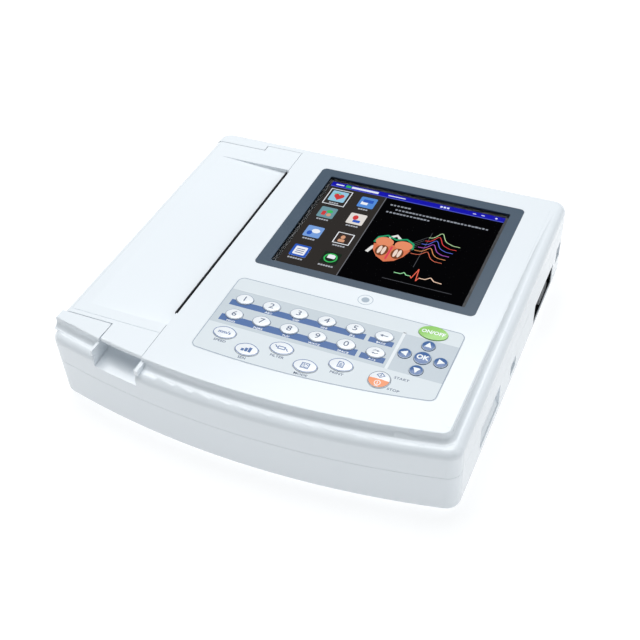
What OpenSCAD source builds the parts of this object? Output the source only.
// Desktop twelve-lead ECG recorder with a colour screen, a keypad and a 216 mm strip printer.
// Frame: origin under the middle of the casing on the table, +X to the user's right, +Y to the
// back, +Z up. All sizes are in millimetres.

/* [Casing] */
// Width of the casing
body_w = 355; // [353:0.5:357]
// Depth from the middle of the bowed front to the back wall
body_d = 334; // [333:0.5:337]
// Height of the flat top above the table
body_h = 78; // [77:0.5:81]
// Height of the parting line between the upper and the lower casing
parting_z = 42.5; // [42:0.25:43.5]
// Radius of the bowed front wall
front_r = 788; // [770:1:820]
// Radius of the upright corners
corner_r = 11.8; // [11:0.1:12]
// Thickness of the moulded walls
wall = 2.8; // [2.5:0.1:3]
// Depth of the step from the flat top down to the front ledge
step_h = 8.5; // [8:0.25:9]
// Radius of the rounded outer edges
edge_r = 7; // [6:0.5:8]

/* [Printer] */
// Diameter of the full paper roll
roll_d = 48; // [40:1:50]
// Width of the recording paper
paper_w = 210; // [200:1:212]
// Diameter of the rubber platen roller
platen_d = 16; // [15:0.25:16.5]
// How far the paper lid dips towards the paper slot
lid_dip = 4.5; // [3:0.25:5]

/* [Screen and keypad] */
// Width of the picture on the screen
picture_w = 170.4; // [168:0.2:171]
// Height of the picture on the screen
picture_h = 127.8; // [126:0.2:128]
// Travel of a key
key_travel = 0.8; // [0.5:0.1:0.8]
// How far a key's dome stands above the keypad
key_rise = 1.2; // [0.9:0.1:1.4]
// Clearance all round a key in its hole
key_gap = 0.3; // [0.25:0.05:0.35]

/* [Hidden] */
$fn = 64;
bow_fn = 256;            // segments that draw the very large front arcs
gap = 0.3;               // clearance between neighbouring bodies
seam = 0.5;              // visible seam between mouldings
tuck = 0.1;              // how far a front corner stays inside the walls it joins
big = 400;

// Casing outline: a rounded rectangle whose front side is an arc
half_w = body_w / 2;
front_y = -body_d / 2;
back_y = body_d / 2;
bow_y = front_y + front_r;
skel_r = front_r - corner_r;
skel_x = half_w - corner_r;
skel_back = back_y - corner_r;
bow_a = asin(skel_x / skel_r);
skel_front = bow_y - sqrt(skel_r * skel_r - skel_x * skel_x);

foot_h = 5;
floor_z = foot_h;
floor_top = floor_z + 3;
parting_gap = 0.3;
ledge_z = body_h - step_h;
roof_z = body_h - wall;

// Raised flat top: its own outline, set back from the front and the right wall
plat_corner = 7.6;
plat_r = front_r - 11.4;
plat_bow_y = bow_y + 1;
plat_x = half_w - 11.5;
plat_skel_r = plat_r - plat_corner;
plat_skel_x = plat_x - plat_corner;
plat_a = asin(plat_skel_x / plat_skel_r);
plat_skel_y = plat_bow_y - sqrt(plat_skel_r * plat_skel_r - plat_skel_x * plat_skel_x);
plat_left_a = asin((half_w + 4) / plat_r);
step_fillet = 4.8;
top_edge = 1.2;
rise_y = plat_skel_y + 1;
rise_a = atan(step_h / (skel_back - 4 - rise_y));
band_z = 60;

// Printer lid
slot_x = -85.1;
lid_front = -124.2;
lid_back = 148.3;
tongue_front_x = -128;
tongue_back_x = -122.5;
tongue_back_y = 156;
tongue_t = 3.5;
tongue_draft = 1;
slot_y0 = -94;
slot_y1 = 123;
slot_w = 1.7;
dip_x = -159;
dip_y0 = -109;
dip_y1 = 125;
lid_t = 2.6;
lid_round = 8;
lid_x0 = -half_w + 0.1;
lid_x1 = slot_x - seam / 2;
hinge_barrel = 3.2;
hinge_x = lid_x0 + hinge_barrel;
hinge_z = 60;
hinge_pin_r = 1.25;
hinge_wall_z = hinge_z - hinge_barrel - 0.4;
// [start, end] along Y of the lid's and of the casing's hinge knuckles
LID_KNUCKLES = [[-116, -61], [-11, 37], [87, 140]];
CASE_KNUCKLES = [[-125, -116.4], [-60.6, -11.4], [37.4, 86.6], [140.4, 149]];

// Finger scoop under the tongue of the lid
scoop_x0 = tongue_front_x - 0.8;
scoop_x1 = slot_x - 0.6;
scoop_top = body_h - tongue_t - gap;
scoop_floor = 60;
scoop_back = -132;
scoop_r = 10;

// Printer mechanism
roll_x = -134;
roll_z = 38;
roll_mid_y = (slot_y0 + slot_y1) / 2;
core_r = 8.5;
shaft_r = 8.2;
journal_r = 3.5;
platen_x = slot_x - platen_d / 2 - 0.9;
platen_z = 61.5;
platen_l = 216;
platen_y0 = roll_mid_y - platen_l / 2;
platen_y1 = roll_mid_y + platen_l / 2;
platen_shaft_r = 3;
run = 0.05;              // radial clearance of a running shaft
cheek_t = 3;
gear_y = 132;
gear_t = 5;
gear_m = 1;
platen_teeth = 20;
idler_teeth = 24;
pinion_teeth = 14;
idler_dir = -90;
pinion_dir = -30;
idler_x = platen_x + gear_m * (platen_teeth + idler_teeth) / 2 * cos(idler_dir);
idler_z = platen_z + gear_m * (platen_teeth + idler_teeth) / 2 * sin(idler_dir);
pinion_x = idler_x + gear_m * (idler_teeth + pinion_teeth) / 2 * cos(pinion_dir);
pinion_z = idler_z + gear_m * (idler_teeth + pinion_teeth) / 2 * sin(pinion_dir);
platen_phase = idler_dir;
idler_phase = idler_dir + 180 + 180 / idler_teeth;
// the idler's tooth nearest the pinion's direction fixes the pinion's phase
idler_pitch = 360 / idler_teeth;
idler_off = (pinion_dir - idler_phase) - idler_pitch * round((pinion_dir - idler_phase) / idler_pitch);
pinion_phase = pinion_dir + 180 + 180 / pinion_teeth + idler_off * idler_teeth / pinion_teeth;
bracket_y = 127.8;
bracket_t = 1.6;
motor_w = 35;
motor_l = 27;
tray_x0 = -163.5;
tray_x1 = -104.6;
tray_y0 = -105;
tray_y1 = 126.5;
tray_top = 50;
head_x = slot_x - 0.6;

// Screen
screen_x = 46;
screen_y = 63;
bezel_x = 45.1;
bezel_y = 64;
bezel_w = 199;
bezel_h = 152.5;
bezel_t = 1.4;
bezel_seat = 1.5;
bezel_open_w = picture_w + 5.6;
bezel_open_h = picture_h + 5.6;
glass_t = 1.1;
glass_z = body_h - bezel_seat - 0.15 - glass_t;
lcd_w = 203;
lcd_h = 142;
lcd_t = 8;
lcd_top = glass_z - 0.1;

// Keypad
pad_x0 = -55.9;
pad_x1 = 145.5;
pad_y1 = -33.7;
pad_r = front_r - 42;
pad_corner = 6;
pad_t = 0.5;
pad_seat = 0.45;
key_flange = 1;
key_flange_z = roof_z - gap - key_flange;
key_stem_z = key_flange_z - 1.5;
dome_top_z = key_stem_z - key_travel - gap;
board_t = 1.6;
mat_t = 0.9;
mat_z = dome_top_z - 0.9 - mat_t;
board_z = mat_z - board_t - 0.05;

// Key shapes: [length, width, how it is laid out]; a round key has equal length and width
DIGIT = [15.7, 12];
FUNCTION = [20.3, 13.6];
POWER = [24, 15];
ROUND = [11, 11];
CENTRE = [13.7, 13.7];
START = [17.8, 17.8];
col_x = -38.6;
col_pitch = 24.85;
row1_y = -59.3;
row2_y = -78.5;
fun_x = -35.7;
fun_pitch = 25.4;
fun_back_y = -100.9;
fun_front_y = -112;
nav_x = 121.8;
nav_y = -71.2;
nav_pitch = 14.2;
DIGITS = ["key_1", "key_2", "key_3", "key_4", "key_5", "key_6", "key_7", "key_8", "key_9", "key_0"];
FUNCTIONS = ["key_speed", "key_gain", "key_filter", "key_mode", "key_print"];
// every key as [name, x, y, shape]
KEYS = concat(
    [for (i = [0:9]) [DIGITS[i], col_x + col_pitch * (i % 5), i < 5 ? row1_y : row2_y, DIGIT]],
    [["key_backspace", col_x + col_pitch * 5, row1_y, DIGIT]],
    [["key_shift", col_x + col_pitch * 5, row2_y, DIGIT]],
    [for (i = [0:4]) [FUNCTIONS[i], fun_x + fun_pitch * i, i % 2 == 0 ? fun_back_y : fun_front_y, FUNCTION]],
    [["key_start_stop", 99, -104.6, START]],
    [["key_power", 120.6, -42.2, POWER]],
    [["key_up", nav_x, nav_y + nav_pitch, ROUND]],
    [["key_down", nav_x, nav_y - nav_pitch, ROUND]],
    [["key_left", nav_x - nav_pitch - 0.5, nav_y, ROUND]],
    [["key_right", nav_x + nav_pitch + 0.5, nav_y, ROUND]],
    [["key_ok", nav_x, nav_y, CENTRE]]
);

// Sockets in the right wall: [y0, y1, z0, z1, depth]
NETWORK_POCKET = [140, 154.5, 25, 41, 1.5];
PATIENT_POCKET = [68, 130, 10.5, 32.5, 7];
USB_POCKET = [-6.5, 9.5, 15.5, 27.5, 1.5];
patient_y = 99;
patient_z = 21.5;
patient_pitch = 33.3;
// Finger grip in each side wall: [y0, y1, z0, z1]
HANDHOLD = [-91, -39, 16, 38.5];
handhold_depth = 8;
// Recess in the back wall: [x0, x1, z0, z1, depth]
POWER_POCKET = [44, 106, 11, 40.5, 3];
inlet_x = 66;
switch_x = 91;
switch_w = 11.2;
switch_tilt = 8;
switch_pin_r = 1.5;
power_z = 26;
power_y = back_y - POWER_POCKET[4];
switch_y = power_y - 1.5;
stud_x = 126;
stud_r = 3;
stud_l = 10;
stud_y = back_y - stud_l - 2;

// Fasteners and feet
FEET = [[-150, -125], [150, -125], [-150, 140], [150, 140]];
foot_r = 8;
SCREWS = [[161.2, 133], [159.5, -111], [-60, -136], [-160, -133], [-160, 156.5], [-30, 156.5]];
screw_r = 1.5;
screw_head_r = 2.75;
boss_r = 4.5;
screw_seat_z = 24;

// Battery compartment, opened from below
bat_x = 10;
bat_y = 95;
bat_w = 100;
bat_d = 52;
door_w = bat_w + 16;
door_d = bat_d + 6;
DOOR_SCREWS = [[bat_x - door_w / 2 + 4.5, bat_y], [bat_x + door_w / 2 - 4.5, bat_y]];

// ---------------------------------------------------------------- shared shapes

// Cross-section of a rim: x is the distance outwards from the skeleton, y is the height
module rim_profile(inner, grow, z0, z1, r_top, r_bottom) {
    intersection() {
        union() {
            translate([inner, z0 + r_bottom]) square([grow - inner, z1 - z0 - r_top - r_bottom]);
            translate([inner, z0]) square([grow - inner - r_bottom, z1 - z0 - r_top]);
            translate([inner, z0 + r_bottom]) square([grow - inner - r_top, z1 - z0 - r_bottom]);
            if (r_top > 0) translate([grow - r_top, z1 - r_top]) circle(r_top);
            if (r_bottom > 0) translate([grow - r_bottom, z0 + r_bottom]) circle(r_bottom);
        }
        translate([inner, z0]) square([grow - inner, z1 - z0]);
    }
}

// Turns a profile round a front bow's centre, between two angles measured from -Y
module bow_sweep(r, a0, a1, centre_y = bow_y) {
    translate([0, centre_y, 0])
        rotate_extrude(angle = a1 - a0, start = 270 + a0, $fn = bow_fn)
            translate([r, 0]) children();
}

// Runs a profile along the right-hand wall from y0 to y1
module side_run(x, y0, y1) {
    translate([x, y1, 0]) rotate([90, 0, 0]) linear_extrude(y1 - y0) children();
}

// The casing's outline grown from its skeleton, with rounded top and bottom edges; it runs back to y1
module rounded_block(grow, z0, z1, r_top = 0, r_bottom = 0, y1 = skel_back) {
    drop = r_top > 0 ? tuck : 0;
    lift = r_bottom > 0 ? tuck : 0;
    translate([0, 0, z0]) linear_extrude(z1 - z0) intersection() {
        translate([0, bow_y]) circle(skel_r, $fn = bow_fn);
        translate([-skel_x, front_y]) square([2 * skel_x, y1 - front_y]);
    }
    bow_sweep(skel_r, -bow_a, bow_a) rim_profile(-1, grow, z0, z1, r_top, r_bottom);
    for (s = [0, 1]) mirror([s, 0, 0]) {
        side_run(skel_x, skel_front, y1) rim_profile(-1, grow, z0, z1, r_top, r_bottom);
        translate([skel_x, skel_front, 0])
            rotate_extrude() rim_profile(0, grow - tuck, z0 + lift, z1 - drop, r_top, r_bottom);
        if (y1 == skel_back) translate([skel_x, skel_back, 0])
            rotate_extrude() rim_profile(0, grow, z0, z1, r_top, r_bottom);
    }
    if (y1 == skel_back) back_run() rim_profile(-1, grow, z0, z1, r_top, r_bottom);
}

// Runs a profile along the back wall
module back_run() {
    translate([-skel_x, skel_back, 0]) rotate([0, 0, 90]) rotate([90, 0, 0])
        linear_extrude(2 * skel_x) children();
}

// The raised top's outline, set in by inset; it stops at the skeleton in the back and on the left,
// and reaches the left wall only in front of the lid
module plateau_prism(inset, z0, z1, r_top = 0) {
    grow = plat_corner - inset;
    left = inset == 0 ? half_w : half_w - wall;
    intersection() {
        union() {
            translate([0, 0, z0]) linear_extrude(z1 - z0) intersection() {
                translate([0, plat_bow_y]) circle(plat_skel_r, $fn = bow_fn);
                translate([-half_w - 3, front_y]) square([plat_skel_x + half_w + 3, body_d]);
            }
            bow_sweep(plat_skel_r, -plat_left_a, plat_a, plat_bow_y)
                rim_profile(-1, grow, z0, z1, r_top, 0);
            side_run(plat_skel_x, plat_skel_y, back_y) rim_profile(-1, grow, z0, z1, r_top, 0);
            translate([plat_skel_x, plat_skel_y, 0])
                rotate_extrude() rim_profile(0, grow - tuck, z0, z1 - tuck, r_top, 0);
        }
        translate([0, 0, z0 - 5]) linear_extrude(z1 - z0 + 10)
            polygon([[-left, front_y - 5], [half_w, front_y - 5], [half_w, skel_back],
                [-skel_x, skel_back], [-skel_x, lid_front + 5], [-left, lid_front + 5]]);
    }
}

// Concave fillet at the foot of the step
module fillet_profile() {
    translate([plat_corner - 0.5, ledge_z - 0.5]) difference() {
        square(step_fillet + 0.5);
        translate([step_fillet + 0.5, step_fillet + 0.5]) circle(step_fillet);
    }
}

// Tilts what runs along the right side so that the ledge rises to the back
module side_rise() {
    translate([0, rise_y, ledge_z])
        rotate([rise_a, 0, 0])
            translate([0, -rise_y, -ledge_z]) children();
}

module upper_outside() {
    z0 = parting_z + parting_gap / 2;
    difference() {
        union() {
            // walls below the rounded edges, the level front ledge and the raised top
            rounded_block(corner_r, z0, band_z);
            rounded_block(corner_r, z0 + 1, ledge_z, edge_r, 0, plat_skel_y);
            plateau_prism(0, z0 + 1, body_h, top_edge);
            // concave foot of the step
            bow_sweep(plat_skel_r, -plat_left_a, plat_a, plat_bow_y) fillet_profile();
            translate([plat_skel_x, plat_skel_y, 0])
                rotate_extrude(angle = 80, start = 280) translate([-tuck, 0]) fillet_profile();
            // right-hand ledge, which rises until it meets the top at the back
            intersection() {
                side_rise() side_run(plat_skel_x, plat_skel_y - 5, back_y + 9) {
                    fillet_profile();
                    rim_profile(-1, half_w - plat_skel_x - tuck / 2, parting_z + 4, ledge_z, edge_r, 0);
                }
                translate([0, plat_skel_y, 0]) cube([big, skel_back - plat_skel_y, body_h]);
            }
            // rounded back edge, and the left edge behind the lid
            back_run() rim_profile(-1, corner_r, z0 + 1, body_h, edge_r, 0);
            for (s = [-1, 1]) translate([s * skel_x, skel_back, 0])
                rotate_extrude() rim_profile(0, corner_r, z0 + 1, body_h, edge_r, 0);
            mirror([1, 0, 0]) side_run(skel_x, lid_back - 3, skel_back)
                rim_profile(-1, corner_r, z0 + 1, body_h, edge_r, 0);
        }
        // outside the left wall, and the small chamfer on the front strip's outer edge
        translate([-half_w - 20, front_y, z0 + 0.5]) cube([20, lid_front - front_y, big]);
        translate([-half_w, front_y, body_h]) rotate([0, 45, 0]) cube([1.4, 2 * (lid_front - front_y), 1.4], center = true);
    }
}

// Plan of the lid, grown by g on every side that faces the casing
module lid_plan(g) {
    translate([-half_w - 5, lid_front - g])
        square([lid_x1 + half_w + 5 + g, lid_back - lid_front + 2 * g]);
    translate([tongue_front_x - g, front_y - 5])
        square([lid_x1 - tongue_front_x + 2 * g, lid_front - front_y + 10]);
    translate([tongue_back_x - g, lid_back - 5])
        square([lid_x1 - tongue_back_x + 2 * g, tongue_back_y - lid_back + 5 + g]);
}

// Oval drawn with four arcs that meet smoothly; a round key gives a circle
end_tuck = 0.02;
module oval(l, w, grow = 0) {
    end_r = w * 0.36 + grow;
    cx = l / 2 - w * 0.36;
    // radius of the long sides, tangent to both end arcs
    h = w / 2;
    e = w * 0.36;
    side_c = (cx * cx - (h - e) * (h - e)) / (2 * (h - e));
    if (l == w) {
        circle(l / 2 + grow);
    } else {
        t = cx * (side_c + h) / sqrt(cx * cx + side_c * side_c);
        for (s = [-1, 1]) translate([s * cx, 0]) circle(end_r - end_tuck);
        intersection() {
            translate([0, -side_c]) circle(side_c + h + grow, $fn = 128);
            translate([0, side_c]) circle(side_c + h + grow, $fn = 128);
            square([2 * t, w * 2], center = true);
        }
    }
}

module rounded_plate(w, d, t, r) {
    linear_extrude(t) {
        square([w - 2 * r, d], center = true);
        square([w, d - 2 * r], center = true);
        for (x = [-1, 1], y = [-1, 1]) translate([x * (w / 2 - r), y * (d / 2 - r)]) circle(r);
    }
}

// Outline of the keypad: straight top and sides, bowed lower edge, rounded corners
module pad_outline(g) {
    r = pad_corner + g;
    skel = pad_r - pad_corner;
    x0 = pad_x0 + pad_corner;
    x1 = pad_x1 - pad_corner;
    y1 = pad_y1 - pad_corner;
    a0 = asin(x0 / skel);
    a1 = asin(x1 / skel);
    for (x = [x0, x1]) {
        translate([x, y1]) circle(r);
        translate([x, bow_y - sqrt(skel * skel - x * x)]) circle(r);
    }
    intersection() {
        translate([0, bow_y]) circle(skel + r, $fn = bow_fn);
        polygon([[0, bow_y], [big * 3 * sin(a0), bow_y - big * 3 * cos(a0)],
            [big * 3 * sin(a1), bow_y - big * 3 * cos(a1)]]);
        translate([x0 - 9, front_y]) square([x1 - x0 + 18, y1 - 20 - front_y]);
    }
    // side strips reach in as far as the sector's slanting edges
    translate([x0 - r, bow_y - sqrt(skel * skel - x0 * x0)])
        square([6 + r, y1 - bow_y + sqrt(skel * skel - x0 * x0)]);
    translate([x1 - 12, bow_y - sqrt(skel * skel - x1 * x1)])
        square([12 + r, y1 - bow_y + sqrt(skel * skel - x1 * x1)]);
    translate([x0, y1 - 21]) square([x1 - x0, 21 + r]);
}

// One spur gear in the XZ plane, its axis along Y, with involute flanks and a little backlash
function involute(rb, t) = [rb * (cos(t) + t * PI / 180 * sin(t)), rb * (sin(t) - t * PI / 180 * cos(t))];
function turned(p, a) = [p[0] * cos(a) - p[1] * sin(a), p[0] * sin(a) + p[1] * cos(a)];

module gear(x, y, z, teeth, width, phase, bore_r) {
    pitch_r = gear_m * teeth / 2;
    pressure = 20;
    base_r = pitch_r * cos(pressure);
    tip_r = pitch_r + 0.9 * gear_m;
    root_r = pitch_r - 1.15 * gear_m;
    backlash = 0.16;
    inv_p = tan(pressure) * 180 / PI - pressure;
    half_tooth = 90 / teeth - backlash / pitch_r * 90 / PI;
    t_tip = acos(base_r / tip_r);
    // roll angles from the base circle to the tip
    roll_tip = tan(t_tip) * 180 / PI;
    flank = [for (i = [0:5]) turned(involute(base_r, roll_tip * i / 5), -half_tooth - inv_p)];
    tooth = concat([[root_r * cos(half_tooth + inv_p), -root_r * sin(half_tooth + inv_p)]],
        flank,
        [for (i = [5:-1:0]) [flank[i][0], -flank[i][1]]],
        [[root_r * cos(half_tooth + inv_p), root_r * sin(half_tooth + inv_p)]]);
    translate([x, y + width / 2, z]) rotate([90, 0, 0]) linear_extrude(width) difference() {
        union() {
            circle(root_r + 0.02);
            polygon([for (i = [0:teeth - 1], p = tooth) turned(p, phase + i * 360 / teeth)]);
        }
        circle(bore_r);
    }
}

module rod(x, z, r, y0, y1) {
    translate([x, y1, z]) rotate([90, 0, 0]) cylinder(r = r, h = y1 - y0);
}

// ---------------------------------------------------------------- casings

module finger_scoop(g) {
    x0 = scoop_x0 - g;
    x1 = scoop_x1 + g;
    r = scoop_r + g;
    cy = scoop_back - scoop_r;
    cz = scoop_floor + scoop_r;
    translate([x0, 0, 0]) rotate([90, 0, 90]) linear_extrude(x1 - x0) {
        translate([cy, cz]) circle(r);
        translate([front_y - 8, cz]) square([scoop_back + g - front_y + 8, scoop_top - cz]);
        polygon([[cy, cz - r], [cy, cz], [front_y - 8, cz], [front_y - 8, cz - r - 3.5]]);
    }
}

module handhold_pocket(g) {
    y0 = HANDHOLD[0] - g;
    y1 = HANDHOLD[1] + g;
    z0 = HANDHOLD[2] - g;
    z1 = HANDHOLD[3] + g;
    d = handhold_depth + g;
    translate([0, y1, 0]) rotate([90, 0, 0]) linear_extrude(y1 - y0)
        polygon([[half_w + 1, z0 - 1], [half_w - 1, z0], [half_w - d, z1 - 7], [half_w - d, z1],
            [half_w + 1, z1]]);
}

module wall_pocket(p, g) {
    translate([half_w - p[4] - g, p[0] - g, p[2] - g])
        cube([p[4] + g + 1, p[1] - p[0] + 2 * g, p[3] - p[2] + 2 * g]);
}

module power_pocket(g) {
    p = POWER_POCKET;
    translate([p[0] - g, back_y - p[4] - g, p[2] - g])
        cube([p[1] - p[0] + 2 * g, p[4] + g + 1, p[3] - p[2] + 2 * g]);
    translate([stud_x, back_y + 1, power_z]) rotate([90, 0, 0]) cylinder(r = 9 + g, h = back_y + 1 - stud_y + g);
}

module upper_casing() color([0.93, 0.95, 0.97]) {
    difference() {
        union() {
            difference() {
                upper_outside();
                // hollow inside
                rounded_block(corner_r - wall, parting_z - 1, ledge_z - wall, edge_r - 2);
                plateau_prism(wall, parting_z - 1, roof_z);
            }
            // closed back of the finger scoop
            intersection() {
                finger_scoop(2.4);
                upper_outside();
            }
            // ledge under the lid's front and back edges
            intersection() {
                translate([0, 0, 69]) linear_extrude(body_h - tongue_t - gap - 69) difference() {
                    lid_plan(3);
                    translate([-half_w, lid_front + 3]) square([big, lid_back - lid_front - 6]);
                    translate([-half_w - 9, front_y - 9]) square([12, big]);
                }
                rounded_block(corner_r - 1, parting_z, body_h - 2, 0);
            }
            for (p = SCREWS) translate([p[0], p[1], parting_z + parting_gap / 2])
                cylinder(r = boss_r, h = roof_z - parting_z);
            // frame that stiffens the screen opening
            translate([bezel_x, bezel_y, roof_z - 1]) difference() {
                rounded_plate(bezel_w + 9, bezel_h - 1, 1.2, 4);
                translate([screen_x - bezel_x, screen_y - bezel_y, -1])
                    rounded_plate(lcd_w + 1, lcd_h + 1, 4, 1);
            }
            // rib that the print head's springs lean on
            translate([head_x + 16.5, slot_y0 + 14, 62]) cube([2, slot_y1 - slot_y0 - 28, roof_z - 61.5]);
        }
        // the lid's opening and its left-hand wall, cut down to the hinge
        translate([0, 0, body_h - tongue_t - gap]) linear_extrude(10) lid_plan(seam);
        translate([0, 0, hinge_wall_z]) linear_extrude(30)
            translate([-half_w - 5, lid_front - seam])
                square([lid_x1 + seam + half_w + 5, lid_back - lid_front + 2 * seam]);
        // paper slot
        translate([slot_x - 1, slot_y0, parting_z]) cube([1 + slot_w - seam / 2, slot_y1 - slot_y0, 60]);
        finger_scoop(0);
        // rebate over the lower casing's tongue
        difference() {
            rounded_block(corner_r - wall + 1.5, parting_z - 1, parting_z + 2.2);
            rounded_block(corner_r - wall - 4, parting_z - 2, parting_z + 3);
            for (p = SCREWS) translate([p[0], p[1], 0]) cylinder(r = boss_r + 0.1, h = big);
        }
        for (p = SCREWS) translate([p[0], p[1], parting_z - 1]) cylinder(r = screw_r + 0.1, h = 17);
        // screen seat and opening
        translate([bezel_x, bezel_y, body_h - bezel_seat])
            rounded_plate(bezel_w + 0.3, bezel_h + 0.3, 5, 4.65);
        translate([screen_x, screen_y, parting_z]) rounded_plate(184, 142.2, 60, 2);
        // keypad seat and key holes
        translate([0, 0, body_h - pad_seat]) linear_extrude(5) pad_outline(0.15);
        translate([0, 0, parting_z]) linear_extrude(60)
            for (k = KEYS) translate([k[1], k[2]]) oval(k[3][0], k[3][1], key_gap);
    }
    // hinge knuckles on the left wall
    for (k = CASE_KNUCKLES) difference() {
        union() {
            rod(hinge_x, hinge_z, hinge_barrel, k[0], k[1]);
            translate([hinge_x - hinge_barrel, k[0], hinge_wall_z - 6])
                cube([2 * hinge_barrel - 1, k[1] - k[0], 6 + hinge_barrel + 0.4]);
        }
        rod(hinge_x, hinge_z, hinge_pin_r + 0.02, k[0] - 1, k[1] + 1);
    }
}

module lower_casing() color([0.90, 0.92, 0.94]) {
    difference() {
        union() {
            difference() {
                rounded_block(corner_r, floor_z, parting_z - parting_gap / 2, 0, 3);
                rounded_block(corner_r - wall, floor_top, big, 0, 1);
            }
            // tongue that locates the upper casing
            difference() {
                rounded_block(corner_r - wall + 1.2, parting_z - 3, parting_z + 1.8);
                rounded_block(corner_r - wall - 0.4, parting_z - 6, parting_z + 5);
            }
            // closed pockets behind the sockets and handholds
            intersection() {
                union() {
                    for (p = [NETWORK_POCKET, PATIENT_POCKET, USB_POCKET]) wall_pocket(p, 2.2);
                    handhold_pocket(2.4);
                    mirror([1, 0, 0]) handhold_pocket(2.4);
                    power_pocket(2.2);
                }
                rounded_block(corner_r - 1, floor_z + 1, parting_z - 1);
            }
            for (p = SCREWS) translate([p[0], p[1], floor_z + 1])
                cylinder(r = boss_r, h = parting_z - parting_gap / 2 - floor_z - 1);
            for (p = DOOR_SCREWS) translate([p[0], p[1], floor_z + 1]) cylinder(r = boss_r, h = 20);
            // battery well
            translate([bat_x, bat_y, floor_z + 1]) difference() {
                rounded_plate(bat_w + 7, bat_d + 7, 25, 3);
                translate([0, 0, -1]) rounded_plate(bat_w + 2, bat_d + 2, 30, 2);
            }
            // board standoffs
            for (x = [-25, 135], y = [-112, 42]) translate([x, y, floor_z + 1]) cylinder(r = 3, h = 7);
            for (x = [78, 144], y = [66, 124]) translate([x, y, floor_z + 1]) cylinder(r = 3, h = 7);
            // posts under the print head's bracket
            for (y = [platen_y0 + 30, platen_y1 - 34])
                translate([head_x + 13.2, y, floor_z + 1]) cylinder(r = 3.6, h = 50.9 - floor_z - 1);
        }
        for (p = [NETWORK_POCKET, PATIENT_POCKET, USB_POCKET]) wall_pocket(p, 0);
        handhold_pocket(0);
        mirror([1, 0, 0]) handhold_pocket(0);
        power_pocket(0);
        // holes for the sockets
        translate([half_w - 20, 140.5, 25.5]) cube([30, 13.5, 15]);
        translate([half_w - 20, patient_y - 14.5, patient_z - 6.3]) cube([30, 29, 12.6]);
        for (s = [-1, 1]) translate([half_w - 20, patient_y + s * patient_pitch / 2, patient_z])
            rotate([0, 90, 0]) cylinder(r = 1.7, h = 30);
        translate([half_w - 20, -5.8, 17.6]) cube([30, 14.6, 7.8]);
        translate([inlet_x - 13.8, back_y - 20, power_z - 10.2]) cube([27.6, 30, 20.4]);
        translate([switch_x - 7.2, back_y - 20, power_z - 10.2]) cube([14.4, 30, 20.4]);
        translate([stud_x, back_y, power_z]) rotate([90, 0, 0]) cylinder(r = 2.1, h = 30);
        // screw holes from below
        for (p = SCREWS) translate([p[0], p[1], 0]) {
            cylinder(r = screw_r + 0.2, h = big);
            cylinder(r = screw_head_r + 0.4, h = screw_seat_z);
        }
        // battery opening, its door seat and the door's screw holes
        translate([bat_x, bat_y, 0]) rounded_plate(bat_w + 2, bat_d + 2, 30, 2);
        translate([bat_x, bat_y, 0]) rounded_plate(door_w + 0.6, door_d + 0.6, floor_z + 2.6, 3.3);
        for (p = DOOR_SCREWS) translate([p[0], p[1], 0]) cylinder(r = screw_r + 0.1, h = 24);
        // foot seats
        for (p = FEET) translate([p[0], p[1], 0]) cylinder(r = foot_r + 0.1, h = floor_z + 1);
        // cooling slots under the power board
        for (i = [0:7]) translate([84 + i * 7, 78, 0]) rounded_plate(2.4, 26, 20, 1.15);
    }
}

module casing_screws() color([0.45, 0.46, 0.48]) {
    for (p = SCREWS) translate([p[0], p[1], 0]) difference() {
        union() {
            translate([0, 0, screw_seat_z - 2.4]) cylinder(r = screw_head_r, h = 2.4);
            translate([0, 0, screw_seat_z - 0.1]) cylinder(r = screw_r, h = 32);
        }
        for (a = [0, 90]) rotate(a) translate([-1.5, -0.4, screw_seat_z - 3]) cube([3, 0.8, 1.6]);
    }
    // two short countersunk screws hold the battery door
    for (p = DOOR_SCREWS) translate([p[0], p[1], 0]) difference() {
        union() {
            translate([0, 0, floor_z + 0.1]) cylinder(r1 = screw_head_r, r2 = screw_r, h = 1.4);
            translate([0, 0, floor_z + 1]) cylinder(r = screw_r, h = 14);
        }
        for (a = [0, 90]) rotate(a) translate([-1.5, -0.4, floor_z - 1]) cube([3, 0.8, 1.9]);
    }
}

module battery_door() color([0.88, 0.90, 0.92]) {
    difference() {
        translate([bat_x, bat_y, floor_z]) rounded_plate(door_w, door_d, 2.4, 3);
        for (p = DOOR_SCREWS) translate([p[0], p[1], 0]) {
            cylinder(r = screw_r + 0.2, h = 30);
            translate([0, 0, floor_z - 0.05]) cylinder(r1 = screw_head_r + 0.4, r2 = screw_r + 0.2, h = 1.65);
        }
        // finger grooves
        for (i = [-2:2]) translate([bat_x + i * 5, bat_y - 20, floor_z - 1]) rounded_plate(2, 12, 1.6, 0.95);
    }
}

module rubber_feet() color([0.35, 0.36, 0.38]) {
    for (p = FEET) translate([p[0], p[1], 0]) rotate_extrude() {
        square([foot_r, floor_z + 0.9]);
        square([foot_r - 1, floor_z + 0.95]);
    }
}

// ---------------------------------------------------------------- printer lid

module lid_section(inset) {
    // cross-section of the lid in XZ; inset shrinks it to the inside
    x0 = lid_x0 + inset;
    x1 = lid_x1 - inset;
    z1 = body_h - inset;
    r = lid_round - inset;
    z0 = hinge_z - 2 * inset;
    translate([x0, z0]) square([x1 - x0, z1 - r - z0]);
    translate([x0 + r, z1 - r]) circle(r);
    translate([x0 + r, z1 - r - 1]) square([x1 - x0 - r, r + 1]);
}

module lid_run(y0, y1) {
    translate([0, y1, 0]) rotate([90, 0, 0]) linear_extrude(y1 - y0) children();
}

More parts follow.
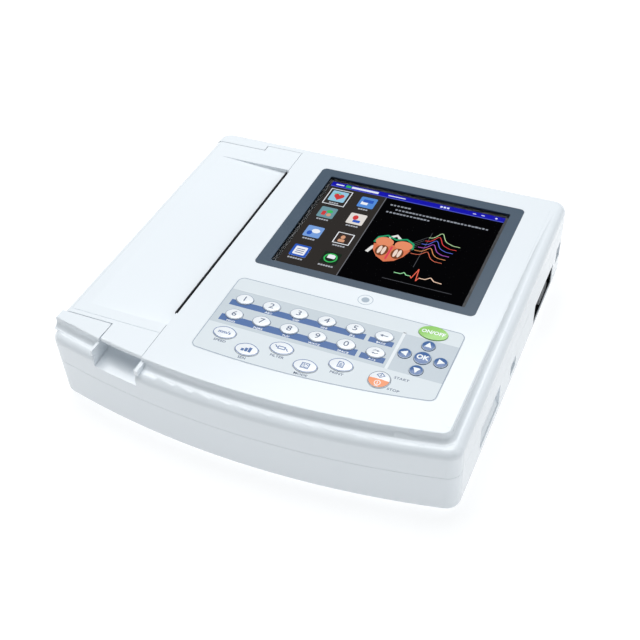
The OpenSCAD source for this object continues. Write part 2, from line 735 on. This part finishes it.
// Everything above the lid's sloping middle, lowered by drop
module lid_dip_wedge(drop) {
    slope = lid_dip / (lid_x1 - dip_x);
    polygon([[dip_x, body_h - drop], [lid_x1 + 9, body_h - drop - slope * (lid_x1 + 9 - dip_x)],
        [lid_x1 + 9, body_h + 9], [dip_x, body_h + 9]]);
}

// A tongue's cross-section, its left side drafted so that it clears the casing as the lid swings up
module tongue_section(x0) {
    polygon([[x0 + tongue_draft, body_h - tongue_t], [lid_x1, body_h - tongue_t], [lid_x1, body_h + 3],
        [x0 - tongue_draft * 3 / tongue_t, body_h + 3]]);
}

module printer_lid() color([0.94, 0.96, 0.98]) {
    y0 = lid_front + seam / 2;
    y1 = lid_back - seam / 2;
    roof_slope = lid_dip / (lid_x1 - dip_x);
    difference() {
        union() {
            lid_run(y0, y1) lid_section(0);
            // front tongue, its nose rounded along the plateau's bowed edge
            intersection() {
                bow_sweep(plat_r - 41, -plat_left_a, 0, plat_bow_y)
                    rim_profile(0, 40, body_h - tongue_t - 1, body_h, 1.6, 2);
                lid_run(front_y - 3, y0 + 2) tongue_section(tongue_front_x + seam / 2);
            }
            intersection() {
                lid_run(y1 - 2, tongue_back_y) tongue_section(tongue_back_x + seam / 2);
                translate([-big, 0, 0]) cube([2 * big, big, body_h]);
            }
        }
        // inside of the shell
        lid_run(y0 + lid_t, y1 - lid_t) difference() {
            lid_section(lid_t);
            lid_dip_wedge(lid_t);
        }
        // clear of the casing's ledge at the front and the back
        for (y = [y0 - 1, y1 - 4.6]) translate([-half_w, y, hinge_z - 1])
            cube([big, 5.6, body_h - tongue_t - hinge_z + 1]);
        // sloping middle that guides the paper out
        lid_run(dip_y0, dip_y1) lid_dip_wedge(0);
        // fine groove across the front of the lid
        translate([-half_w - 1, -120, body_h - 0.35]) cube([half_w + slot_x + 2, 0.5, 2]);
        // seat of the tear bar
        translate([lid_x1 - 1.1, slot_y0, hinge_z]) cube([5, slot_y1 - slot_y0, 40]);
        // room for the casing's knuckles and for the pin
        for (k = CASE_KNUCKLES) rod(hinge_x, hinge_z, hinge_barrel + 1.2, k[0] - 0.4, k[1] + 0.4);
        translate([-half_w - 1, y0 - 1, hinge_z - 8]) cube([hinge_barrel * 2 + 3, y1 - y0 + 2, 8]);
        rod(hinge_x, hinge_z, hinge_pin_r + run, lid_front - 1, lid_back + 1);
        // room for the platen and its gear
        rod(platen_x, platen_z, platen_d / 2 + 0.8, platen_y0 - 2.5, platen_y1 + 2.5);
        rod(platen_x, platen_z, gear_m * platen_teeth / 2 + 1.6, gear_y - gear_t, gear_y + gear_t);
    }
    // hinge knuckles
    for (k = LID_KNUCKLES) difference() {
        union() {
            rod(hinge_x, hinge_z, hinge_barrel - 0.05, k[0], k[1]);
            translate([lid_x0, k[0], hinge_z]) cube([lid_t + 0.4, k[1] - k[0], 6]);
        }
        rod(hinge_x, hinge_z, hinge_pin_r + run, k[0] - 1, k[1] + 1);
    }
    // cheeks that carry the platen
    for (y = [platen_y0 - 2.5 - cheek_t, platen_y1 + 2.5]) difference() {
        lid_run(y, y + cheek_t) {
            translate([platen_x, platen_z]) circle(5.5);
            translate([platen_x - 5.5, platen_z]) square([11, body_h - 5 - platen_z]);
            polygon([[platen_x - 5.5, platen_z], [platen_x - 18, body_h - 5], [platen_x + 5.5, body_h - 5]]);
        }
        rod(platen_x, platen_z, platen_shaft_r + run, y - 1, y + cheek_t + 1);
    }
    // stiffening ribs under the top
    for (x = [-158, -132, -112])
        translate([x, y0 + 6, body_h - lid_t - roof_slope * (x - dip_x) - 3.2]) cube([1.6, y1 - y0 - 12, 3.6]);
}

module lid_hinge_pin() color([0.75, 0.76, 0.78]) {
    rod(hinge_x, hinge_z, hinge_pin_r, CASE_KNUCKLES[0][0] + 0.5, CASE_KNUCKLES[3][1] - 0.5);
}

module tear_bar() color([0.25, 0.27, 0.30]) {
    // steel strip along the lid's free edge, with a row of fine teeth on top
    teeth = 72;
    pitch = (slot_y1 - slot_y0 - 1) / teeth;
    z0 = body_h - lid_dip - 7.4;
    z1 = body_h - lid_dip - 0.5;
    translate([lid_x1 - 0.35, 0, 0]) rotate([90, 0, -90]) linear_extrude(0.7)
        polygon(concat([[-slot_y0 - 0.5, z0], [-slot_y1 + 0.5, z0]],
            [for (i = [0:teeth - 1], s = [0, 0.5]) [-slot_y1 + 0.5 + (i + s) * pitch, s == 0 ? z1 : z1 + 0.5]],
            [[-slot_y0 - 0.5, z1]]));
}

// ---------------------------------------------------------------- printer mechanism

module platen_roller() color([0.16, 0.16, 0.17]) {
    difference() {
        rod(platen_x, platen_z, platen_d / 2, platen_y0, platen_y1);
        rod(platen_x, platen_z, platen_shaft_r, platen_y0 - 1, platen_y1 + 1);
    }
}

module platen_shaft() color([0.78, 0.79, 0.80]) {
    rod(platen_x, platen_z, platen_shaft_r, platen_y0 - 7, gear_y + gear_t / 2 + 1.5);
    // retaining collars outside the cheeks
    difference() {
        rod(platen_x, platen_z, platen_shaft_r + 1.6, platen_y0 - 7, platen_y0 - 5.8);
        rod(platen_x, platen_z, platen_shaft_r - 0.5, platen_y0 - 8, platen_y0 - 5);
    }
}

module platen_gear() color([0.88, 0.88, 0.84]) {
    gear(platen_x, gear_y, platen_z, platen_teeth, gear_t, platen_phase, platen_shaft_r);
}

module idler_gear() color([0.88, 0.88, 0.84]) {
    gear(idler_x, gear_y, idler_z, idler_teeth, gear_t, idler_phase, 2 + run);
}

module motor_pinion() color([0.80, 0.68, 0.35]) {
    gear(pinion_x, gear_y, pinion_z, pinion_teeth, gear_t, pinion_phase, 2.5);
    rod(pinion_x, pinion_z, 2.5, bracket_y - motor_l + 2, gear_y + gear_t / 2 + 0.5);
}

module stepper_motor() color([0.30, 0.31, 0.33]) {
    difference() {
        union() {
            translate([pinion_x, bracket_y, pinion_z]) rotate([90, 0, 0])
                rounded_plate(motor_w, motor_w, 5, 3);
            translate([pinion_x, bracket_y - 5, pinion_z]) rotate([90, 0, 0])
                rounded_plate(motor_w - 1.5, motor_w - 1.5, motor_l - 10, 6);
            translate([pinion_x, bracket_y - motor_l + 5, pinion_z]) rotate([90, 0, 0])
                rounded_plate(motor_w, motor_w, 5, 3);
            translate([pinion_x - 6, bracket_y - motor_l - 4, pinion_z - motor_w / 2 + 1]) cube([12, 6, 5]);
        }
        rod(pinion_x, pinion_z, 2.5 + run, bracket_y - motor_l + 1.5, bracket_y + 1);
    }
}

module gear_bracket() color([0.72, 0.73, 0.75]) {
    difference() {
        union() {
            translate([0, bracket_y + bracket_t, 0]) rotate([90, 0, 0]) linear_extrude(bracket_t)
                polygon([[idler_x - 7, floor_top + 3], [pinion_x + 21, floor_top + 3],
                    [pinion_x + 21, pinion_z + 19], [idler_x + 9, idler_z + 11], [idler_x - 7, idler_z + 6]]);
            // foot flange screwed to the floor
            translate([idler_x - 7, bracket_y, floor_top + 0.2])
                cube([pinion_x + 28 - idler_x, 14, bracket_t + 1.4]);
            rod(idler_x, idler_z, 2, bracket_y, gear_y + gear_t / 2 + 1);
            rod(idler_x, idler_z, 3, bracket_y, gear_y - gear_t / 2 - 0.2);
        }
        rod(pinion_x, pinion_z, 3.2, bracket_y - 1, bracket_y + bracket_t + 1);
        for (x = [-1, 1], z = [-1, 1])
            rod(pinion_x + x * 13, pinion_z + z * 13, 1.6, bracket_y - 1, bracket_y + bracket_t + 0.1);
        for (x = [idler_x + 3, pinion_x + 13]) translate([x, bracket_y + 9, floor_top]) cylinder(r = 1.7, h = 4);
    }
}

module print_head() color([0.85, 0.82, 0.72]) {
    // ceramic strip with its raised heater line, facing the platen
    difference() {
        translate([head_x, platen_y0, 53]) cube([4.2, platen_l, 17]);
        translate([head_x - 1, platen_y0 - 1, 53 - 1]) cube([1.4, platen_l + 2, 4]);
        translate([head_x - 1, platen_y0 - 1, 66]) cube([1.6, platen_l + 2, 6]);
    }
}

module head_bracket() color([0.70, 0.71, 0.73]) {
    x = head_x + 4.2;
    difference() {
        union() {
            translate([x, platen_y0 - 2, 51]) cube([2.4, platen_l + 4, 20]);
            translate([x, platen_y0 - 2, 51]) cube([12, platen_l + 4, 2.4]);
            for (i = [0:3]) translate([x + 2, platen_y0 - 2, 56.4 + i * 3.6]) cube([3.4, platen_l + 4, 1.2]);
            for (y = [platen_y0 + 10, platen_y1 - 14]) translate([x + 8, y, 51]) cube([4, 4, 12]);
        }
        for (y = [platen_y0 + 30, platen_y1 - 34]) translate([x + 9, y, 50]) cylinder(r = 1.6, h = 5);
    }
}

module head_springs() color([0.80, 0.80, 0.82]) {
    // leaf springs between the bracket and the casing's rib
    x = head_x + 9.6;
    for (y = [platen_y0 + 50, roll_mid_y, platen_y1 - 50])
        translate([0, y + 6, 0]) rotate([90, 0, 0]) linear_extrude(12)
            polygon([[x, 57], [x + 0.4, 57], [x + 5, 64], [x + 6.8, 71], [x + 6.4, 71], [x + 4.6, 64.2],
                [x, 57.6]]);
}

module paper_roll() color([0.96, 0.95, 0.93]) {
    difference() {
        rod(roll_x, roll_z, roll_d / 2, roll_mid_y - paper_w / 2, roll_mid_y + paper_w / 2);
        rod(roll_x, roll_z, core_r, roll_mid_y - paper_w / 2 - 1, roll_mid_y + paper_w / 2 + 1);
    }
}

module paper_shaft() color([0.55, 0.60, 0.66]) {
    rod(roll_x, roll_z, shaft_r, roll_mid_y - paper_w / 2 + 1, roll_mid_y + paper_w / 2 - 1);
    rod(roll_x, roll_z, journal_r, tray_y0 - 4, tray_y1 + 4);
    for (y = [roll_mid_y - paper_w / 2 - 2, roll_mid_y + paper_w / 2 + 0.5])
        rod(roll_x, roll_z, 11, y, y + 1.5);
}

module paper_tray() color([0.82, 0.85, 0.88]) {
    difference() {
        union() {
            // round-bottomed trough
            lid_run(tray_y0, tray_y1) difference() {
                union() {
                    translate([roll_x, roll_z]) circle(28.6);
                    translate([tray_x0 + 0.9, roll_z]) square([tray_x1 - tray_x0 - 0.9, tray_top - roll_z]);
                }
                translate([roll_x, roll_z]) circle(26.8);
                translate([roll_x - 26.8, roll_z]) square([53.6, 60]);
                translate([tray_x0 - 5, tray_top]) square([90, 60]);
            }
            // end walls that hold the shaft
            for (y = [tray_y0, tray_y1 - 2.4]) lid_run(y, y + 2.4) difference() {
                union() {
                    translate([roll_x, roll_z]) circle(28.6);
                    translate([tray_x0 + 0.9, roll_z]) square([tray_x1 - tray_x0 - 0.9, tray_top - roll_z]);
                }
                translate([tray_x0 - 5, tray_top]) square([90, 60]);
            }
            // feet
            for (y = [tray_y0 + 20, tray_y1 - 28], x = [-20, 14])
                translate([roll_x + x, y, floor_top + 0.1]) cube([6, 8, 10]);
        }
        // open-topped notches for the shaft's journals
        for (y = [tray_y0 - 1, tray_y1 - 3.4]) {
            rod(roll_x, roll_z, journal_r + run, y, y + 4.4);
            translate([roll_x - journal_r - run, y, roll_z]) cube([2 * (journal_r + run), 4.4, 40]);
        }
        rod(roll_x, roll_z, 26.8, tray_y0 + 2.4, tray_y1 - 2.4);
    }
}

// ---------------------------------------------------------------- screen

module screen_bezel() color([0.32, 0.39, 0.46]) {
    translate([bezel_x, bezel_y, body_h - bezel_seat + 0.05]) difference() {
        rounded_plate(bezel_w, bezel_h, bezel_t, 4.5);
        translate([screen_x - bezel_x, screen_y - bezel_y, -1])
            rounded_plate(bezel_open_w, bezel_open_h, 9, 1);
    }
}

module screen_glass() color([0.08, 0.09, 0.10, 0.5]) {
    translate([screen_x, screen_y, glass_z]) rounded_plate(182.5, 140.5, glass_t, 1.5);
}

module lcd_panel() color([0.10, 0.10, 0.11]) {
    translate([screen_x, screen_y, lcd_top - lcd_t]) difference() {
        rounded_plate(lcd_w, lcd_h, lcd_t, 1);
        translate([-picture_w / 2, -picture_h / 2, lcd_t - 0.3]) cube([picture_w, picture_h, 1]);
    }
}

// ---------------------------------------------------------------- keypad

module keypad_overlay() color([0.88, 0.91, 0.93]) {
    translate([0, 0, body_h - pad_seat + 0.05]) linear_extrude(pad_t) difference() {
        pad_outline(0);
        for (k = KEYS) translate([k[1], k[2]]) oval(k[3][0], k[3][1], key_gap);
    }
}

// One key: a shallow dome, a flange that keeps it in, and a stem over its rubber dome
module key_cap(k) {
    l = k[3][0];
    w = k[3][1];
    top = body_h + key_rise;
    dome_r = (l * l / 4 + 1) / (2 * 0.55);
    color([0.95, 0.96, 0.97]) translate([k[1], k[2], 0]) {
        intersection() {
            translate([0, 0, key_flange_z]) linear_extrude(top - key_flange_z + 1) oval(l, w);
            translate([0, 0, top - dome_r]) sphere(dome_r, $fn = 128);
        }
        translate([0, 0, key_flange_z]) linear_extrude(key_flange) oval(l, w, 0.9);
        translate([0, 0, key_stem_z]) cylinder(r = 2.2, h = 2);
    }
}

module key_mat() color([0.75, 0.78, 0.80]) {
    translate([-50, -119, mat_z]) cube([192, 83, mat_t]);
    for (k = KEYS) translate([k[1], k[2], mat_z]) cylinder(r = 3.4, h = dome_top_z - mat_z);
}

module keypad_board() color([0.10, 0.35, 0.22]) {
    translate([-50, -119, board_z]) cube([192, 83, board_t]);
    translate([-44, -60, board_z - 4]) cube([6, 24, 4.1]);
    for (x = [0, 40, 80]) translate([x, -90, board_z - 1.4]) cube([9, 9, 1.5]);
}

// ---------------------------------------------------------------- electronics

module main_board() color([0.08, 0.33, 0.20]) {
    z = floor_top + 5.2;
    difference() {
        translate([-31, -118, z]) cube([172, 166, 1.6]);
        for (x = [-25, 135], y = [-112, 42]) translate([x, y, z - 1]) cylinder(r = 1.6, h = 4);
    }
    // processor, memory, front-end chips, shield, connectors and the beeper
    translate([20, -50, z + 1.5]) cube([28, 28, 2.2]);
    for (i = [0:3]) translate([58, -60 + i * 14, z + 1.5]) cube([18, 9, 1.3]);
    for (i = [0:5]) translate([96, -70 + i * 16, z + 1.5]) cube([10, 10, 1.6]);
    translate([112, -20, z + 1.5]) cube([24, 60, 8]);
    for (y = [-97, -60]) translate([-29, y, z + 1.5]) cube([6, 26, 5]);
    translate([-29, 0, z + 1.5]) cube([6, 30, 5]);
    translate([30, 38, z + 1.5]) cube([34, 6, 6]);
    translate([0, -98, z + 1.5]) cylinder(r = 7, h = 6);
    for (i = [0:4]) translate([-8 + i * 13, 20, z + 1.5]) cylinder(r = 4, h = 9);
}

module power_board() color([0.12, 0.30, 0.45]) {
    z = floor_top + 5.2;
    difference() {
        translate([73, 61, z]) cube([76, 68, 1.6]);
        for (x = [78, 144], y = [66, 124]) translate([x, y, z - 1]) cylinder(r = 1.6, h = 4);
    }
    translate([95, 75, z + 1.5]) cube([30, 26, 20]);
    translate([132, 84, z + 1.5]) cube([3, 34, 18]);
    for (x = [84, 100, 116]) translate([x, 112, z + 1.5]) cylinder(r = 6, h = 14);
    translate([76, 72, z + 1.5]) cube([12, 16, 9]);
}

module battery_pack() color([0.20, 0.30, 0.50]) {
    translate([bat_x, bat_y, floor_z + 2.9]) {
        rounded_plate(bat_w, bat_d, 2, 6);
        translate([0, 0, 1.5]) rounded_plate(bat_w, bat_d, 17, 3);
    }
    translate([bat_x + 30, bat_y + 8, floor_z + 20]) cube([14, 8, 5]);
}

// A flat cable that drops at x0 from z1 to z0 and runs right to x1
module flat_cable(x0, x1, z0, z1, y, w) {
    t = 0.5;
    lid_run(y, y + w) polygon([[x0, z1], [x0, z0], [x1, z0], [x1, z0 + t], [x0 + t, z0 + t], [x0 + t, z1]]);
}

module flat_cables() color([0.85, 0.85, 0.80]) {
    plug_z = floor_top + 11.9;
    flat_cable(-41, -24, plug_z, board_z - 4.1, -58, 20);
    flat_cable(-78, -24, plug_z, 50.8, -92, 16);
    flat_cable(-26, -24, plug_z, lcd_top - lcd_t - 0.1, 5, 22);
}

// ---------------------------------------------------------------- sockets and power inlet

module mains_inlet() color([0.10, 0.10, 0.11]) {
    // one snap-in module: the inlet, and the frame that the rocker switch turns in
    y0 = power_y;
    difference() {
        union() {
            translate([(inlet_x + switch_x) / 2 - 3, y0 + 2.2, power_z]) rotate([90, 0, 0])
                rounded_plate(54, 25, 2.2, 2);
            translate([inlet_x - 13.5, y0 - 17, power_z - 9.9]) cube([27, 17.5, 19.8]);
            translate([switch_x - 6.9, y0 - 15, power_z - 9.9]) cube([13.8, 15.5, 19.8]);
        }
        // socket hollow with two cut corners
        translate([inlet_x, y0 + 3, power_z]) rotate([90, 0, 0]) linear_extrude(15.5)
            polygon([[-12, -8], [12, -8], [12, 3.5], [7.5, 8], [-7.5, 8], [-12, 3.5]]);
        translate([switch_x - switch_w / 2 - 0.2, y0 - 12, power_z - 9]) cube([switch_w + 0.4, 20, 18]);
    }
    // three flat pins and the solder tags
    for (p = [[-7, -1], [0, 3.4], [7, -1]]) {
        translate([inlet_x + p[0] - 1, y0 - 12.8, power_z + p[1] - 2]) cube([2, 11, 4]);
        translate([inlet_x + p[0] - 0.4, y0 - 23, power_z + p[1] - 2]) cube([0.8, 6.5, 4]);
    }
    // pivot of the rocker
    translate([switch_x - 6.5, switch_y, power_z]) rotate([0, 90, 0]) cylinder(r = switch_pin_r, h = 13);
}

module power_rocker() color([0.12, 0.12, 0.13]) {
    translate([switch_x - switch_w / 2, switch_y, power_z]) rotate([-switch_tilt, 0, 0])
        rotate([90, 0, 90]) linear_extrude(switch_w) difference() {
            union() {
                polygon([[-3, -8.1], [3, -8.1], [1.3, 0], [3, 8.1], [-3, 8.1]]);
                circle(3);
            }
            circle(switch_pin_r + run);
        }
}

module patient_connector() color([0.72, 0.72, 0.74]) {
    x0 = half_w - PATIENT_POCKET[4];
    difference() {
        union() {
            // flange, D-shaped shell and the body behind
            translate([x0 + 0.8, patient_y, patient_z]) rotate([0, -90, 0]) rounded_plate(12.5, 39.2, 0.8, 1.5);
            translate([x0 + 0.5, patient_y, patient_z]) rotate([90, 0, 90]) linear_extrude(5.9)
                polygon([[-12.6, 4.2], [12.6, 4.2], [11.2, -4.2], [-11.2, -4.2]]);
            translate([x0 - 11, patient_y - 13.6, patient_z - 5.6]) cube([11.6, 27.2, 11.2]);
        }
        translate([x0 + 1.5, patient_y, patient_z]) rotate([90, 0, 90]) linear_extrude(9)
            polygon([[-12, 3.7], [12, 3.7], [10.7, -3.7], [-10.7, -3.7]]);
        for (s = [-1, 1]) translate([x0 - 2, patient_y + s * patient_pitch / 2, patient_z])
            rotate([0, 90, 0]) cylinder(r = 1.55, h = 9);
    }
    // dark insulator with its socket holes
    translate([x0 + 0.8, patient_y, patient_z]) rotate([90, 0, 90]) linear_extrude(4.8) difference() {
        polygon([[-11.2, 3], [11.2, 3], [10.1, -3], [-10.1, -3]]);
        for (i = [0:7]) translate([(i - 3.5) * 2.76, 1.4]) circle(0.5);
        for (i = [0:6]) translate([(i - 3) * 2.76, -1.4]) circle(0.5);
    }
}

module data_sockets() color([0.70, 0.71, 0.73]) {
    x1 = half_w - USB_POCKET[4];
    // USB receptacle with its contact board
    difference() {
        translate([x1 - 17.5, -5.6, 17.8]) cube([17, 14.2, 7.4]);
        translate([x1 - 14, -4.9, 18.5]) cube([17, 12.8, 6]);
    }
    translate([x1 - 15, -4.2, 21.2]) cube([11, 11.4, 1.7]);
    // network jack, its latch notch to the back
    difference() {
        translate([x1 - 17.5, 140.7, 25.7]) cube([17, 13.1, 14.6]);
        translate([x1 - 13, 142.4, 27.4]) cube([17, 8.2, 11]);
        translate([x1 - 13, 144.4, 29.9]) cube([17, 8, 6]);
    }
}

module ground_stud() color([0.80, 0.74, 0.45]) {
    // contact pin with a hexagonal collar outside and a nut behind the wall
    translate([stud_x, stud_y + 1.6 + stud_l, power_z]) rotate([90, 0, 0]) cylinder(r = stud_r, h = stud_l);
    translate([stud_x, stud_y + 1.7, power_z]) rotate([90, 0, 0]) cylinder(r = 5.5, h = 1.6, $fn = 6);
    translate([stud_x, stud_y + 1, power_z]) rotate([90, 0, 0]) cylinder(r = 2, h = 9);
    translate([stud_x, stud_y - 2.4, power_z]) rotate([90, 0, 0]) cylinder(r = 4.6, h = 3, $fn = 6);
}

// ---------------------------------------------------------------- nodes

upper_casing();
lower_casing();
printer_lid();
lid_hinge_pin();
tear_bar();
platen_roller();
platen_shaft();
platen_gear();
idler_gear();
motor_pinion();
stepper_motor();
gear_bracket();
print_head();
head_bracket();
head_springs();
paper_roll();
paper_shaft();
paper_tray();
screen_bezel();
screen_glass();
lcd_panel();
keypad_overlay();
key_mat();
keypad_board();
main_board();
power_board();
battery_pack();
battery_door();
flat_cables();
mains_inlet();
power_rocker();
patient_connector();
data_sockets();
ground_stud();
casing_screws();
rubber_feet();
for (k = KEYS) key_cap(k);
